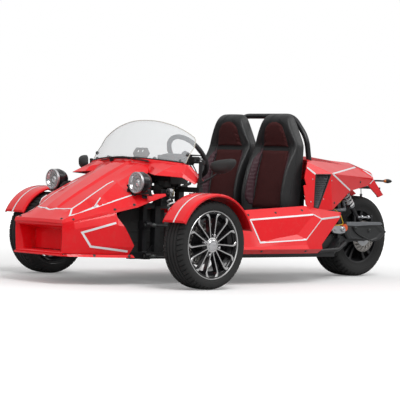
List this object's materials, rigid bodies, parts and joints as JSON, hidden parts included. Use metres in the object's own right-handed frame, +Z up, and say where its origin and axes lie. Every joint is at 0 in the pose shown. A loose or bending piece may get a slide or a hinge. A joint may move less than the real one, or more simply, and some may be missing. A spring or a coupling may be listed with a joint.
{
  "type": "three wheeled car",
  "caption": "Open two-seat three-wheeled roadster with steered front wheels under cycle fenders, a driven rear wheel, windshield, bucket seats and roll bar.",
  "frame": {"origin": "bottom centre of the vehicle's box, on the ground", "axes": "+X forwards, +Y to the vehicle's left, +Z up"},
  "size_m": [2.932, 1.664, 1.058],
  "materials": {
    "red_paint": "gloss clear-coated red panel",
    "frame_black": "satin black powder coat",
    "floor_black": "matt black checker plate",
    "black_plastic": "moulded black plastic",
    "clear_screen": "clear polycarbonate, slightly tinted",
    "cast_alloy": "cast, slightly rough",
    "exhaust_steel": "brushed",
    "red_lens": "transparent red lens",
    "bright_steel": "zinc plated",
    "black_leather": "black and maroon leatherette",
    "white_coil": "white painted spring",
    "lamp_black": "gloss black lamp shell",
    "tyre_rubber": "rubber",
    "rim_machined": "gloss black with machined faces",
    "rim_rear_black": "satin black"
  },
  "bodies": {
    "chassis": {"frame": "frame_black", "floor_pan": "floor_black", "footbox": "black_plastic", "nose_mask": "red_paint", "bonnet": "red_paint", "cowl": "red_paint", "windshield": "clear_screen", "windshield_trim": "black_plastic", "dash": "black_plastic", "tail_cowl": "red_paint", "roll_bar": "frame_black", "engine": "cast_alloy", "swing_arm": "frame_black", "swing_guard": "black_plastic", "exhaust": "exhaust_steel", "tail_lamp": "red_lens", "plate_bracket": "black_plastic", "rack_housing": "cast_alloy", "front_arms_left": "frame_black", "front_arms_right": "frame_black", "front_shock_left": "white_coil", "front_shock_right": "white_coil", "headlight_left": "lamp_black", "headlight_right": "lamp_black", "mirror_left": "black_plastic", "mirror_right": "black_plastic", "side_panel_left": "red_paint", "side_panel_right": "red_paint", "seat_left": "black_leather", "seat_right": "black_leather", "rear_shock_left": "white_coil", "rear_shock_right": "white_coil"},
    "knuckle_left": {"upright_left": "cast_alloy", "fender_left": "red_paint"},
    "wheel_left": {"tyre_left": "tyre_rubber", "rim_left": "rim_machined"},
    "tie_rod_left": {"tie_rod_left": "bright_steel"},
    "knuckle_right": {"upright_right": "cast_alloy", "fender_right": "red_paint"},
    "wheel_right": {"tyre_right": "tyre_rubber", "rim_right": "rim_machined"},
    "tie_rod_right": {"tie_rod_right": "bright_steel"},
    "wheel_rear": {"tyre_rear": "tyre_rubber", "rim_rear": "rim_rear_black"},
    "steering_wheel": {"steering_wheel": "black_leather"},
    "rack": {"rack": "bright_steel"}
  },
  "joints": [
    {"name": "steer_left", "type": "hinge", "parent": "chassis", "child": "knuckle_left", "pos_m": [0.826, 0.61, 0.255], "axis": [0, 0, 1], "range_deg": [-28, 28]},
    {"name": "wheel_left_spin", "type": "hinge", "parent": "knuckle_left", "child": "wheel_left", "pos_m": [0.826, 0.72, 0.255], "axis": [0, 1, 0], "continuous": true},
    {"name": "tie_rod_left_pivot", "type": "hinge", "parent": "knuckle_left", "child": "tie_rod_left", "pos_m": [0.731, 0.61, 0.216], "axis": [0, 0, 1], "range_deg": [-28.5, 28.5]},
    {"name": "steer_right", "type": "hinge", "parent": "chassis", "child": "knuckle_right", "pos_m": [0.826, -0.61, 0.255], "axis": [0, 0, 1], "range_deg": [-28, 28]},
    {"name": "wheel_right_spin", "type": "hinge", "parent": "knuckle_right", "child": "wheel_right", "pos_m": [0.826, -0.72, 0.255], "axis": [0, 1, 0], "continuous": true},
    {"name": "tie_rod_right_pivot", "type": "hinge", "parent": "knuckle_right", "child": "tie_rod_right", "pos_m": [0.731, -0.61, 0.216], "axis": [0, 0, 1], "range_deg": [-28.5, 28.5]},
    {"name": "wheel_rear_spin", "type": "hinge", "parent": "chassis", "child": "wheel_rear", "pos_m": [-1.194, 0, 0.272], "axis": [0, 1, 0], "continuous": true},
    {"name": "rack_slide", "type": "slide", "parent": "chassis", "child": "rack", "axis": [0, 1, 0], "range_m": [-0.047, 0.047]},
    {"name": "steering_wheel_turn", "type": "hinge", "parent": "chassis", "child": "steering_wheel", "pos_m": [0.508, 0.21, 0.757], "axis": [-0.809, 0, 0.5878], "range_deg": [-225, 225]}
  ],
  "couplings": [
    {"joint": "steer_right", "follows": "steer_left", "ratio": 1},
    {"joint": "tie_rod_left_pivot", "follows": "steer_left", "ratio": -1},
    {"joint": "tie_rod_right_pivot", "follows": "steer_left", "ratio": -1},
    {"joint": "rack_slide", "follows": "steer_left", "m_per_rad": -0.095},
    {"joint": "steering_wheel_turn", "follows": "steer_left", "ratio": 8}
  ]
}
